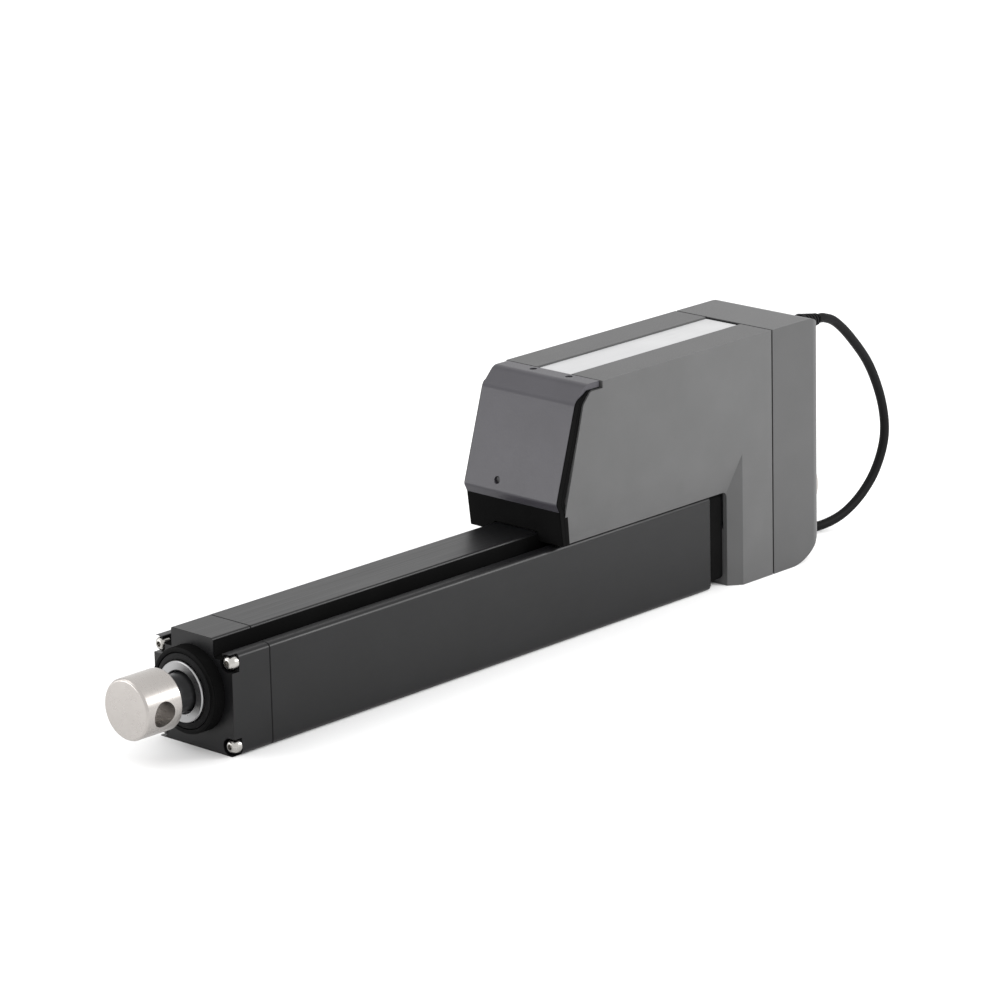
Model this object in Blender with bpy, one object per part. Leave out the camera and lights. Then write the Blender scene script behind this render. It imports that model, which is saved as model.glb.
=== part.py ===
"""Electric linear actuator: a rod driven by a screw, a gear train and a motor.

The rod leaves towards +X, +Z is up, and the bottom of the actuator is at Z = 0.
The origin is under the middle of the actuator's length.
The design is drawn in millimetres, and MM turns it into metres when a mesh is made.
"""
import math

import bmesh
import bpy
from mathutils import Matrix, Vector

MM = 0.001
GAP = 0.3
ROUND = 36

# Places along X
FRONT = 200.5
CAP_DEPTH = 24.0
BOSS_FRONT = FRONT + 7.0
TUBE_MOUTH = FRONT + 8.8
TUBE_REAR = FRONT - 335.0
LEG_FRONT = FRONT - 347.0
LEG_FLAT = FRONT - 353.6
SEAM = FRONT - 377.0
CAP_REAR = FRONT - 418.0
LUG_HOLE_X = FRONT - 430.0

# Outer tube, an extruded profile
TUBE_HALF = 26.5
TUBE_TOP = 50.0
RIB_HALF = 14.2
RIB_TOP = 56.0
GROOVE_OUTER = 20.2
GROOVE_FLOOR = 46.5
BOSS_R = 21.0
PORT_Y = 23.0
PORT_LOW = 4.6
PORT_HIGH = 45.4
PORT_R = 2.1
SEAT_R = 4.3
BUSH_R = 18.0
SEAL_R = 18.4

# Rod and screw
ROD_Z = 29.0
ROD_R = 15.0
ROD_BORE_R = 12.0
EYE_X = FRONT + 32.0
EYE_FRONT = 43.0
CROSS_HOLE_R = 6.35
CROSS_HOLE_TURN = math.radians(8.0)
SCREW_R = 8.0
JOURNAL_R = 6.0
SCREW_ORIGIN_X = FRONT - 340.0
ROD_REAR = FRONT - 298.6

# Housing
HOUSE_TOP = 130.0
HOUSE_HALF = 32.5
BAND_HALF = 27.3
BAND_TOP = 70.0
FLANGE_EDGE = 11.8
NOSE_HALF = 31.4
CAP_LOW_ROUND = 26.0
CAP_HIGH_ROUND = 12.0
CAP_PLAN_ROUND = 9.0
WALL = 2.5
REAR_SCREW_Y = 21.5
REAR_SCREW_Z = (46.0, 108.0)

# Gear train: module 1 mm, motor pinion, idler cluster and main gear in one vertical line
MODULE = 1.0
PINION_TEETH = 14
IDLER_BIG_TEETH = 48
IDLER_SMALL_TEETH = 20
MAIN_TEETH = 45
PRESSURE_ANGLE = math.radians(20)
BACKLASH = 0.12
IDLER_PIN_R = 4.0
MOTOR_SHAFT_R = 3.0
IDLER_Z = ROD_Z + MODULE * (MAIN_TEETH + IDLER_SMALL_TEETH) / 2
MOTOR_Z = IDLER_Z + MODULE * (IDLER_BIG_TEETH + PINION_TEETH) / 2
FAST_PLANE = (FRONT - 366.0, FRONT - 357.5)
SLOW_PLANE = (FRONT - 379.0, FRONT - 368.5)

# Cable
CABLE_R = 2.5
BOOT_Y = 15.2
BOOT_Z = 122.0
BOOT_END = FRONT - 433.0
COIL_CENTRE = (FRONT - 352.0, -75.0)
COIL_MIDDLE_R = 25.5
COIL_WIDE = 16.5
COIL_HIGH = 13.5
COIL_LOW = 1.5


# ---------------------------------------------------------------- tools

def clear_scene():
    for item in list(bpy.data.objects):
        bpy.data.objects.remove(item, do_unlink=True)


def material(name, colour, roughness, metallic):
    made = bpy.data.materials.new(name)
    made.use_nodes = True
    shader = made.node_tree.nodes["Principled BSDF"]
    shader.inputs["Base Color"].default_value = (*colour, 1.0)
    shader.inputs["Roughness"].default_value = roughness
    shader.inputs["Metallic"].default_value = metallic
    return made


def group(name, x, y, z):
    """An empty on a body's joint axis, which carries the body's pieces."""
    empty = bpy.data.objects.new(name, None)
    empty.location = (x * MM, y * MM, z * MM)
    bpy.context.collection.objects.link(empty)
    return empty


def add(name, mesh_data, finish, parent=None, origin=(0, 0, 0), smooth=False):
    """Turn a bmesh drawn in millimetres into a named object."""
    bmesh.ops.recalc_face_normals(mesh_data, faces=mesh_data.faces)
    bmesh.ops.translate(mesh_data, verts=mesh_data.verts, vec=-Vector(origin))
    bmesh.ops.scale(mesh_data, verts=mesh_data.verts, vec=(MM, MM, MM))
    mesh = bpy.data.meshes.new(name)
    mesh_data.to_mesh(mesh)
    mesh_data.free()
    if smooth:
        mesh.shade_smooth()
        mesh.set_sharp_from_angle(angle=math.radians(35))
    made = bpy.data.objects.new(name, mesh)
    bpy.context.collection.objects.link(made)
    place = Vector(origin) * MM
    if parent is not None:
        made.parent = parent
        place -= parent.location
    made.location = place
    if finish is not None:
        mesh.materials.append(finish)
    return made


def rounded(points, steps=3):
    """An outline from (a, b, radius) corners, each turned into an arc of its radius."""
    outline = []
    count = len(points)
    for index, (a, b, radius) in enumerate(points):
        corner = Vector((a, b))
        if radius == 0:
            outline.append(corner)
            continue
        before = (Vector(points[index - 1][:2]) - corner).normalized()
        after = (Vector(points[(index + 1) % count][:2]) - corner).normalized()
        half = before.angle(after) / 2
        reach = radius / math.tan(half)
        centre = corner + (before + after).normalized() * radius / math.sin(half)
        start = corner + before * reach - centre
        end = corner + after * reach - centre
        turn = start.angle_signed(end)
        for step in range(steps + 1):
            outline.append(centre + Matrix.Rotation(-turn * step / steps, 2) @ start)
    return [tuple(point) for point in outline]


def circle(centre, radius, segments):
    ring = []
    for step in range(segments):
        angle = 2 * math.pi * step / segments
        ring.append((centre[0] + radius * math.cos(angle), centre[1] + radius * math.sin(angle)))
    return ring


def prism(outline, axis, low, high):
    """Extrude an outline along X (points are y, z), Y (x, z) or Z (x, y)."""
    def place(point, along):
        if axis == "X":
            return (along, point[0], point[1])
        if axis == "Y":
            return (point[0], along, point[1])
        return (point[0], point[1], along)

    shape = bmesh.new()
    near = [shape.verts.new(place(point, low)) for point in outline]
    far = [shape.verts.new(place(point, high)) for point in outline]
    shape.faces.new(near)
    shape.faces.new(far)
    count = len(outline)
    for index in range(count):
        after = (index + 1) % count
        shape.faces.new((near[index], near[after], far[after], far[index]))
    return shape


def lathe(profile, y, z, segments):
    """Turn (x, radius) points about the X line through y, z. Radius 0 closes on the axis."""
    shape = bmesh.new()
    rings = []
    for x, radius in profile:
        if radius == 0:
            rings.append([shape.verts.new((x, y, z))])
            continue
        ring = []
        for step in range(segments):
            angle = 2 * math.pi * step / segments
            point = (x, y + radius * math.cos(angle), z + radius * math.sin(angle))
            ring.append(shape.verts.new(point))
        rings.append(ring)
    pairs = list(zip(rings, rings[1:]))
    if profile[0][1] != 0:
        pairs.append((rings[-1], rings[0]))
    for first, second in pairs:
        for step in range(segments):
            after = (step + 1) % segments
            if len(first) == 1:
                shape.faces.new((first[0], second[after], second[step]))
            elif len(second) == 1:
                shape.faces.new((first[step], first[after], second[0]))
            else:
                shape.faces.new((first[step], first[after], second[after], second[step]))
    return shape


def hide(tool):
    tool.hide_render = True
    tool.display_type = "WIRE"


def combine(target, tool, operation="DIFFERENCE"):
    hide(tool)
    step = target.modifiers.new(tool.name, "BOOLEAN")
    step.operation = operation
    step.object = tool
    step.solver = "EXACT"


def bore(target, name, radius, y, z, low, high, segments=16):
    """Cut a round hole along X."""
    outline = circle((y, z), radius, segments)
    combine(target, add(name, prism(outline, "X", low, high), None))


def box(y_half, low_z, high_z):
    return [(-y_half, low_z), (y_half, low_z), (y_half, high_z), (-y_half, high_z)]


# ---------------------------------------------------------------- tube end

def tube_outline():
    """Half of the profile's outline, then its mirror image."""
    half = [
        (TUBE_HALF, 0, 3), (TUBE_HALF, TUBE_TOP, 2.5), (GROOVE_OUTER, TUBE_TOP, 0),
        (GROOVE_OUTER, GROOVE_FLOOR, 0), (RIB_HALF, GROOVE_FLOOR, 0), (RIB_HALF, RIB_TOP, 1.2),
    ]
    mirrored = [(-y, z, radius) for y, z, radius in reversed(half)]
    return rounded(half + mirrored)


def slide_outline(inset):
    """The tube's inside, an eight-sided way that keeps the nut from turning."""
    side = 20.0 - inset
    high = 17.0 - inset
    cut = 8.0
    quarter = [(side, high - cut), (side - cut, high)]
    points = quarter + [(-y, z) for y, z in reversed(quarter)]
    points += [(-y, -z) for y, z in quarter] + [(y, -z) for y, z in reversed(quarter)]
    return [(y, ROD_Z + z) for y, z in points]


def screw_places():
    return [(y, z) for z in (PORT_LOW, PORT_HIGH) for y in (-PORT_Y, PORT_Y)]


def make_tube(house, black, rubber):
    tube = add("cover_tube", prism(tube_outline(), "X", TUBE_REAR, FRONT - CAP_DEPTH - 0.6),
               black, house)
    inside = prism(slide_outline(0), "X", TUBE_REAR - 5, FRONT)
    combine(tube, add("tube_way", inside, None))
    gasket = add("front_gasket", prism(tube_outline(), "X", FRONT - CAP_DEPTH - 0.45,
                                       FRONT - CAP_DEPTH - 0.15), rubber, house)
    combine(gasket, add("gasket_way", prism(slide_outline(-1), "X", 0, FRONT), None))
    for index, (y, z) in enumerate(screw_places(), start=1):
        bore(tube, f"tube_port_{index}", PORT_R, y, z, TUBE_REAR - 5, FRONT, 12)
        bore(gasket, f"gasket_port_{index}", PORT_R, y, z, 0, FRONT, 12)


def make_front_cap(house, black, rubber, bronze, steel):
    cap = add("front_cap", prism(tube_outline(), "X", FRONT - CAP_DEPTH, FRONT), black, house)
    boss = lathe([(FRONT - 4, 0), (FRONT - 4, BOSS_R), (BOSS_FRONT - 1, BOSS_R),
                  (BOSS_FRONT, BOSS_R - 1), (BOSS_FRONT, 0)], 0, ROD_Z, ROUND)
    combine(cap, add("boss_tool", boss, None), "UNION")
    hollow = [(-25, 0), (-25, 18.2), (-6, 18.2), (-6, 15.8), (-3.5, 15.8), (-3.5, 18.6),
              (9, 18.6), (9, 0)]
    hollow = [(FRONT + x, radius) for x, radius in hollow]
    combine(cap, add("cap_bore", lathe(hollow, 0, ROD_Z, ROUND), None))
    screw = [(-2.2, 0), (-2.2, 1.7), (0.2, 1.7), (0.2, 3.1), (-0.3, 3.5), (-4.6, 3.5), (-4.6, 1.9),
             (-36, 1.9), (-36, 0)]
    screw = [(FRONT + x, radius) for x, radius in screw]
    for index, (y, z) in enumerate(screw_places(), start=1):
        bore(cap, f"corner_seat_{index}", SEAT_R, y, z, FRONT - 4.9, FRONT + 2, 16)
        bore(cap, f"cap_port_{index}", PORT_R, y, z, FRONT - 40, FRONT, 12)
        add(f"cap_screw_{index}", lathe(screw, y, z, 12), steel, house, (FRONT, y, z), True)
    bush = [(FRONT - 23.6, 15.08), (FRONT - 6.3, 15.08), (FRONT - 6.3, BUSH_R),
            (FRONT - 23.6, BUSH_R)]
    add("guide_bush", lathe(bush, 0, ROD_Z, ROUND), bronze, house, (FRONT, 0, ROD_Z), True)
    seal = [(-3.2, 15.1), (-3.2, SEAL_R), (6.2, SEAL_R), (7.4, 15.9), (7.4, 15.1)]
    seal = [(FRONT + x, radius) for x, radius in reversed(seal)]
    add("wiper_seal", lathe(seal, 0, ROD_Z, ROUND), rubber, house, (FRONT, 0, ROD_Z), True)


# ---------------------------------------------------------------- rod and screw

def make_rod(rod, steel, bright, bronze):
    origin = (FRONT, 0, ROD_Z)
    wall = [(ROD_REAR, ROD_BORE_R), (ROD_REAR, ROD_R), (TUBE_MOUTH - 0.6, ROD_R),
            (TUBE_MOUTH, ROD_R - 0.6), (TUBE_MOUTH, ROD_BORE_R)]
    add("extension_tube", lathe(wall, 0, ROD_Z, ROUND), bright, rod, origin, True)
    head = [(EYE_FRONT, 0), (EYE_FRONT, 13.8), (41.8, ROD_R), (21.6, ROD_R), (20.8, 14.2),
            (20.8, 9.5), (6, 9.5), (6, ROD_BORE_R - 0.1), (-15, ROD_BORE_R - 0.1), (-15, 0)]
    head = [(FRONT + x, radius) for x, radius in head]
    rod_end = add("rod_end", lathe(head, 0, ROD_Z, ROUND), steel, rod, origin, True)
    hole = prism(circle((EYE_X, 0), CROSS_HOLE_R, 24), "Y", -25, 25)
    cutter = add("cross_hole", hole, None)
    cutter.location = (0, 0, ROD_Z * MM)
    cutter.rotation_euler = (-CROSS_HOLE_TURN, 0, 0)
    combine(rod_end, cutter)
    nut = add("drive_nut", prism(slide_outline(GAP), "X", FRONT - 331, FRONT - 299), bronze, rod,
              origin)
    spigot = [(FRONT - 300, 0), (FRONT - 300, 11.9), (FRONT - 290, 11.9), (FRONT - 290, 0)]
    combine(nut, add("nut_spigot", lathe(spigot, 0, ROD_Z, 32), None), "UNION")
    bore(nut, "nut_bore", SCREW_R + 0.15, 0, ROD_Z, FRONT - 340, FRONT - 280, 24)


def make_screw(screw, house, steel, dark_steel):
    origin = (SCREW_ORIGIN_X, 0, ROD_Z)
    shaft = [(-30, 0), (-30, 5), (-35, 5), (-35, SCREW_R), (-333, SCREW_R), (-333, 9.5),
             (-336, 9.5), (-336, JOURNAL_R), (-393, JOURNAL_R), (-393, 0)]
    shaft = [(FRONT + x, radius) for x, radius in shaft]
    add("lead_screw", lathe(shaft, 0, ROD_Z, 24), steel, screw, origin, True)
    stop = [(-34.6, 5.1), (-34.6, 11.2), (-31, 11.2), (-31, 5.1)]
    stop = [(FRONT + x, radius) for x, radius in stop]
    add("screw_stop", lathe(stop, 0, ROD_Z, 24), dark_steel, screw, origin, True)
    for name, rear, front, outer in (("front_bearing", -346.4, -336.5, 13.8),
                                     ("rear_bearing", -391.5, -383.0, 11.0)):
        ring = [(FRONT + rear, 6.1), (FRONT + rear, outer), (FRONT + front, outer),
                (FRONT + front, 6.1)]
        add(name, lathe(ring, 0, ROD_Z, 32), steel, house, (FRONT + front, 0, ROD_Z), True)


# ---------------------------------------------------------------- gears and motor

def tooth_half_angle(teeth, radius):
    """Half of an involute tooth's angle at a radius, less a little backlash."""
    pitch = MODULE * teeth / 2
    base = pitch * math.cos(PRESSURE_ANGLE)

    def involute(at):
        pressure = math.acos(min(1.0, base / at))
        return math.tan(pressure) - pressure

    return (math.pi / 2 / teeth - BACKLASH / 2 / pitch + involute(pitch)
            - involute(max(radius, base)))


def gear_outline(teeth, z, phase):
    """Teeth as wide at root and tip as an involute gear's, the first tooth's middle at phase."""
    pitch = MODULE * teeth / 2
    radii = (pitch - 1.25 * MODULE, pitch + 0.9 * MODULE)
    outline = []
    for tooth in range(teeth):
        middle = phase + 2 * math.pi * tooth / teeth
        half_angles = [tooth_half_angle(teeth, radius) for radius in radii]
        flank = list(zip(radii, half_angles))
        for radius, half in flank:
            outline.append((radius * math.cos(middle - half), z + radius * math.sin(middle - half)))
        for radius, half in reversed(flank):
            outline.append((radius * math.cos(middle + half), z + radius * math.sin(middle + half)))
    return outline


def make_gears(screw, idler, rotor, house, steel, bronze, nylon):
    down = -math.pi / 2
    up = math.pi / 2
    main = gear_outline(MAIN_TEETH, ROD_Z, up + math.pi / MAIN_TEETH)
    gear = add("main_gear", prism(main, "X", *SLOW_PLANE), steel, screw,
               (SCREW_ORIGIN_X, 0, ROD_Z))
    bore(gear, "main_bore", JOURNAL_R + 0.1, 0, ROD_Z, FRONT - 400, FRONT - 300, 24)
    big = gear_outline(IDLER_BIG_TEETH, IDLER_Z, up + math.pi / IDLER_BIG_TEETH)
    gear = add("idler_gear", prism(big, "X", *FAST_PLANE), nylon, idler,
               (FAST_PLANE[0], 0, IDLER_Z))
    small = gear_outline(IDLER_SMALL_TEETH, IDLER_Z, down)
    small = add("idler_small", prism(small, "X", SLOW_PLANE[0], FAST_PLANE[0] + 1), None)
    combine(gear, small, "UNION")
    bore(gear, "idler_bore", IDLER_PIN_R + 0.08, 0, IDLER_Z, FRONT - 400, FRONT - 300, 20)
    pinion = gear_outline(PINION_TEETH, MOTOR_Z, down)
    gear = add("motor_pinion", prism(pinion, "X", *FAST_PLANE), bronze, rotor,
               (FAST_PLANE[0], 0, MOTOR_Z))
    bore(gear, "pinion_bore", MOTOR_SHAFT_R + 0.05, 0, MOTOR_Z, FRONT - 400, FRONT - 300, 16)
    pin = [(FRONT - 384.5, 0), (FRONT - 384.5, IDLER_PIN_R), (FRONT - 350, IDLER_PIN_R),
           (FRONT - 350, 0)]
    add("idler_shaft", lathe(pin, 0, IDLER_Z, 20), steel, house, (FRONT - 350, 0, IDLER_Z), True)


def make_motor(rotor, house, steel, copper, plastic):
    origin = (FRONT - 350, 0, MOTOR_Z)
    shaft = [(-252, 0), (-252, 3), (-263, 3), (-263, 8), (-272, 8), (-272, 13), (-276, 20),
             (-336, 20), (-340, 13), (-340, 3), (-367, 3), (-367, 0)]
    shaft = [(FRONT + x, radius) for x, radius in shaft]
    add("armature", lathe(shaft, 0, MOTOR_Z, 24), copper, rotor, origin, True)
    can = [(-349, 3.6), (-349, 26), (-348, 27), (-262, 27), (-262, 24.8), (-346.2, 24.8),
           (-346.2, 3.6)]
    can = [(FRONT + x, radius) for x, radius in reversed(can)]
    add("motor_can", lathe(can, 0, MOTOR_Z, ROUND), steel, house, origin, True)
    bell = [(-261.7, 24.3), (-261.7, 26.9), (-249, 26.9), (-247, 25), (-247, 3.2), (-250.5, 3.2),
            (-250.5, 24.3)]
    bell = [(FRONT + x, radius) for x, radius in reversed(bell)]
    add("motor_end_bell", lathe(bell, 0, MOTOR_Z, ROUND), plastic, house, origin, True)
    for index, middle in enumerate((0.0, math.pi), start=1):
        span = math.radians(58)
        steps = [middle + span * (step / 5 - 1) for step in range(11)]
        arc = [(24.4 * math.cos(angle), MOTOR_Z + 24.4 * math.sin(angle)) for angle in steps]
        arc += [(20.8 * math.cos(angle), MOTOR_Z + 20.8 * math.sin(angle))
                for angle in reversed(steps)]
        add(f"magnet_{index}", prism(arc, "X", FRONT - 338, FRONT - 274), plastic, house, origin)


# ---------------------------------------------------------------- casting behind the covers

def make_gear_case(house, cast, steel):
    neck = rounded([(20, 5, 4), (20, 48, 4), (-20, 48, 4), (-20, 5, 4)])
    case = add("gear_case", prism(neck, "X", FRONT - 350.5, FRONT - 335.4), cast, house)
    front = add("case_front", prism(box(24.2, 3.6, 125), "X", FRONT - 357, FRONT - 349.9), None)
    rear = add("case_rear", prism(box(28.7, 3.6, 125), "X", FRONT - 381, FRONT - 356), None)
    combine(case, front, "UNION")
    combine(case, rear, "UNION")
    room = prism(box(26.2, 5.2, 122.5), "X", FRONT - 390, FRONT - 356.6)
    combine(case, add("case_room", room, None))
    bore(case, "bearing_seat", 14.0, 0, ROD_Z, FRONT - 346.8, FRONT - 330, 32)
    bore(case, "screw_way", 8.0, 0, ROD_Z, FRONT - 360, FRONT - 340, 24)
    bore(case, "idler_seat", IDLER_PIN_R + 0.1, 0, IDLER_Z, FRONT - 360, FRONT - 345, 20)
    bore(case, "motor_way", 5.0, 0, MOTOR_Z, FRONT - 360, FRONT - 345, 16)
    plate = add("bearing_plate", prism(box(26.5, 5, 122), "X", FRONT - 385, FRONT - 381.3), cast,
                house)
    hub = [(FRONT - 392, 0), (FRONT - 392, 14), (FRONT - 384, 14), (FRONT - 384, 0)]
    combine(plate, add("plate_hub", lathe(hub, 0, ROD_Z, 32), None), "UNION")
    bore(plate, "rear_seat", 11.2, 0, ROD_Z, FRONT - 395, FRONT - 382.6, 32)
    bore(plate, "rear_way", 7.0, 0, ROD_Z, FRONT - 390, FRONT - 375, 20)
    bore(plate, "pin_seat", IDLER_PIN_R + 0.1, 0, IDLER_Z, FRONT - 390, FRONT - 375, 20)
    screw = [(-420.6, 0), (-420.6, 3.0), (-420.0, 3.5), (-418.2, 3.5), (-418.2, 1.9), (-382, 1.9),
             (-382, 0)]
    screw = [(FRONT + x, radius) for x, radius in screw]
    places = [(y, z) for z in REAR_SCREW_Z for y in (-REAR_SCREW_Y, REAR_SCREW_Y)]
    for index, (y, z) in enumerate(places, start=1):
        bore(plate, f"plate_port_{index}", PORT_R, y, z, FRONT - 390, FRONT - 375, 12)
        name = f"rear_cap_screw_{index}"
        add(name, lathe(screw, y, z, 12), steel, house, (CAP_REAR, y, z), True)
    return places


# ---------------------------------------------------------------- covers

def cover_outline():
    """Side view of a side cover, from its front foot over the top and down the leg."""
    return rounded([
        (FRONT - 222.6, TUBE_TOP + GAP, 0), (FRONT - 221.4, BAND_TOP, 0),
        (FRONT - 235.2, 120.5, 4), (FRONT - 240.5, 126.3, 2), (FRONT - 249.3, 126.3, 0),
        (FRONT - 249.3, HOUSE_TOP, 0), (SEAM + 0.2, HOUSE_TOP, 0), (SEAM + 0.2, 0, 0),
        (LEG_FRONT, 0, 0), (LEG_FRONT, TUBE_TOP + GAP, 3),
    ])


def band_tool(name, side, shift):
    """What lies outside the sloped band that runs along the cover's foot and leg."""
    low = BAND_HALF - shift
    face = HOUSE_HALF + 0.1 - shift
    foot = [(side * low, -9), (side * low, TUBE_TOP + shift / 4), (side * face, BAND_TOP + shift / 4),
            (side * 60, BAND_TOP + shift / 4), (side * 60, -9)]
    tool = add(name, prism(foot, "X", FRONT - 420, FRONT - 190), None)
    edge = LEG_FRONT - shift
    leg = [(edge, side * low), (LEG_FLAT - shift, side * face), (LEG_FLAT - shift, side * 50),
           (FRONT - 180, side * 50), (FRONT - 180, side * low)]
    combine(tool, add(name + "_leg", prism(leg, "Z", -20, 90), None), "INTERSECT")
    return tool


def make_side_cover(name, side, house, black):
    block = prism(cover_outline(), "Y", side * FLANGE_EDGE, side * HOUSE_HALF)
    cover = add(name, block, black, house)
    combine(cover, band_tool(name + "_band", side, 0))
    top = HOUSE_TOP - WALL
    inner = LEG_FRONT - WALL
    side_view = [(FRONT - 190, 30), (FRONT - 190, top), (FRONT - 420, top), (FRONT - 420, WALL),
                 (inner, WALL), (inner, 30)]
    room = add(name + "_room", prism(side_view, "Y", -side * 5, side * (HOUSE_HALF - WALL)), None)
    combine(room, band_tool(name + "_room_band", side, WALL))
    combine(cover, room)
    neck = [(FRONT - 360, WALL), (FRONT - 340, WALL), (FRONT - 340, 60), (FRONT - 360, 60)]
    combine(cover, add(name + "_neck", prism(neck, "Y", side * 5, side * 20.5), None))


def nose_line(inset):
    """The nose's front line from its foot up and over to the top."""
    return rounded([
        (FRONT - 219.9 - inset * 0.7, 51.5, 0), (FRONT - 217.6 - inset, 69.5, 0),
        (FRONT - 215.6 - inset, 73.5, 0), (FRONT - 230.5 - inset * 1.05, 122, 7 - inset),
        (FRONT - 238.5, HOUSE_TOP - inset, 6 - inset), (FRONT - 248.5, HOUSE_TOP - inset, 0),
        (FRONT - 248.5, 60, 0),
    ], 3)[:-1]


def make_nose(house, black, dark_steel):
    outline = nose_line(0) + nose_line(3.0)[::-1]
    nose = add("nose_cover", prism(outline, "Y", -NOSE_HALF, NOSE_HALF), black, house)
    edge = nose.modifiers.new("soft_edges", "BEVEL")
    edge.width = 1.5 * MM
    edge.segments = 2
    edge.limit_method = "ANGLE"
    edge.angle_limit = math.radians(60)
    rib_gap = prism(box(RIB_HALF + 0.5, 40, RIB_TOP + 0.5), "X", FRONT - 240, FRONT - 200)
    combine(nose, add("rib_gap", rib_gap, None))
    places = [(FRONT - 245, -10.0, HOUSE_TOP), (FRONT - 245, 14.0, HOUSE_TOP)]
    for index, (x, y, z) in enumerate(places, start=1):
        hole = prism(circle((x, y), 1.7, 12), "Z", z - 6, z + 2)
        combine(nose, add(f"top_hole_{index}", hole, None))
        body = prism(circle((x, y), 1.4, 12), "Z", z - 6, z - 0.5)
        add(f"nose_screw_{index}", body, dark_steel, house, (x, y, z))
    y, z = -10.0, 78.8
    bore(nose, "front_hole", 1.7, y, z, FRONT - 230, FRONT - 205, 12)
    body = prism(circle((y, z), 1.4, 12), "X", FRONT - 224, FRONT - 218.2)
    add("nose_screw_3", body, dark_steel, house, (FRONT - 218.2, y, z))


def make_top_plate(house, plate):
    outline = [(11.4, 129.2), (11.4, 127.2), (16, 127.2), (16, 125.4), (-16, 125.4), (-16, 127.2),
               (-11.4, 127.2), (-11.4, 129.2)]
    add("top_plate", prism(outline, "X", SEAM + 0.3, FRONT - 251), plate, house)


def make_rear_cap(house, black, rubber, places):
    front = SEAM - 0.8
    side = rounded([(front, 0, 0), (CAP_REAR, 0, CAP_LOW_ROUND),
                    (CAP_REAR, HOUSE_TOP, CAP_HIGH_ROUND), (front, HOUSE_TOP, 0)], 5)
    cap = add("rear_cap", prism(side, "Y", -HOUSE_HALF, HOUSE_HALF), black, house)
    top = rounded([(front + 1, -HOUSE_HALF, 0), (CAP_REAR, -HOUSE_HALF, CAP_PLAN_ROUND),
                   (CAP_REAR, HOUSE_HALF, CAP_PLAN_ROUND), (front + 1, HOUSE_HALF, 0)], 4)
    combine(cap, add("cap_plan", prism(top, "Z", -5, HOUSE_TOP + 5), None), "INTERSECT")
    room = prism(box(29.0, 3.2, 126.6), "X", FRONT - 396, FRONT)
    combine(cap, add("cap_room", room, None))
    room = prism(box(24.0, 20, 112), "X", CAP_REAR + 4, FRONT - 390)
    combine(cap, add("cap_back_room", room, None))
    bore(cap, "lug_way", 9.3, 0, ROD_Z, CAP_REAR - 5, FRONT - 400, 24)
    bore(cap, "lug_room", 14.6, 0, ROD_Z, CAP_REAR + 4.1, FRONT - 390, 32)
    bore(cap, "boot_way", 4.3, BOOT_Y, BOOT_Z, CAP_REAR - 5, FRONT - 400, 16)
    bore(cap, "boot_room", 7.2, BOOT_Y, BOOT_Z - 1, CAP_REAR + 5.5, FRONT - 390, 16)
    for index, (y, z) in enumerate(places, start=1):
        bore(cap, f"rear_port_{index}", PORT_R, y, z, CAP_REAR - 5, FRONT - 400, 12)
    ring = rounded([(HOUSE_HALF - 0.5, 0.5, 2), (HOUSE_HALF - 0.5, HOUSE_TOP - 0.5, 2),
                    (-HOUSE_HALF + 0.5, HOUSE_TOP - 0.5, 2), (-HOUSE_HALF + 0.5, 0.5, 2)])
    gasket = add("rear_gasket", prism(ring, "X", SEAM - 0.5, SEAM - 0.1), rubber, house)
    room = prism(box(29.6, 3.0, 126.8), "X", FRONT - 400, FRONT)
    combine(gasket, add("gasket_room", room, None))


def make_rear_lug(house, steel):
    """The rear eye: a flanged shank through the cap and a flat tongue with a cross hole."""
    shank = [(-421, 0), (-421, 9), (-413.6, 9), (-413.6, 14), (-407, 14), (-407, 0)]
    shank = [(FRONT + x, radius) for x, radius in shank]
    lug = add("rear_lug", lathe(shank, 0, ROD_Z, 24), steel, house, (LUG_HOLE_X, 0, ROD_Z))
    tongue = [(FRONT - 418.5, ROD_Z - 14), (FRONT - 418.5, ROD_Z + 14)]
    for step in range(13):
        angle = math.pi / 2 + math.pi * step / 12
        tongue.append((LUG_HOLE_X + 14 * math.cos(angle), ROD_Z + 14 * math.sin(angle)))
    combine(lug, add("lug_tongue", prism(tongue, "Y", -7, 7), None), "UNION")
    hole = prism(circle((LUG_HOLE_X, ROD_Z), CROSS_HOLE_R, 24), "Y", -10, 10)
    combine(lug, add("lug_hole", hole, None))


def make_board(house, board_green):
    """The control board, with a row of part blocks on it in one outline."""
    outline = [(-255, 121.6), (-255, 123.2)]
    for start, end, height in ((-262, -270, 125.0), (-276, -296, 124.6), (-303, -311, 125.2),
                               (-318, -334, 124.4)):
        outline += [(start, 123.2), (start, height), (end, height), (end, 123.2)]
    outline += [(-340, 123.2), (-340, 121.6)]
    outline = [(FRONT + x, z) for x, z in outline]
    add("control_board", prism(outline, "Y", -22, 22), board_green, house)


# ---------------------------------------------------------------- cable

def smooth_route(points, spacing):
    """Points at even steps along a smooth curve through the route's own points."""
    ends = [points[0] * 2 - points[1]] + points + [points[-1] * 2 - points[-2]]
    fine = []
    for before, start, end, after in zip(ends, ends[1:], ends[2:], ends[3:]):
        for step in range(20):
            t = step / 20
            fine.append(0.5 * ((2 * start) + (end - before) * t
                               + (2 * before - 5 * start + 4 * end - after) * t * t
                               + (3 * start - before - 3 * end + after) * t ** 3))
    fine.append(points[-1])
    total = sum((b - a).length for a, b in zip(fine, fine[1:]))
    count = max(2, round(total / spacing))
    step = total / count
    even = [fine[0]]
    walked = 0.0
    for a, b in zip(fine, fine[1:]):
        length = (b - a).length
        while len(even) < count and walked + length >= step * len(even):
            even.append(a.lerp(b, (step * len(even) - walked) / length))
        walked += length
    even.append(fine[-1])
    return even


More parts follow.
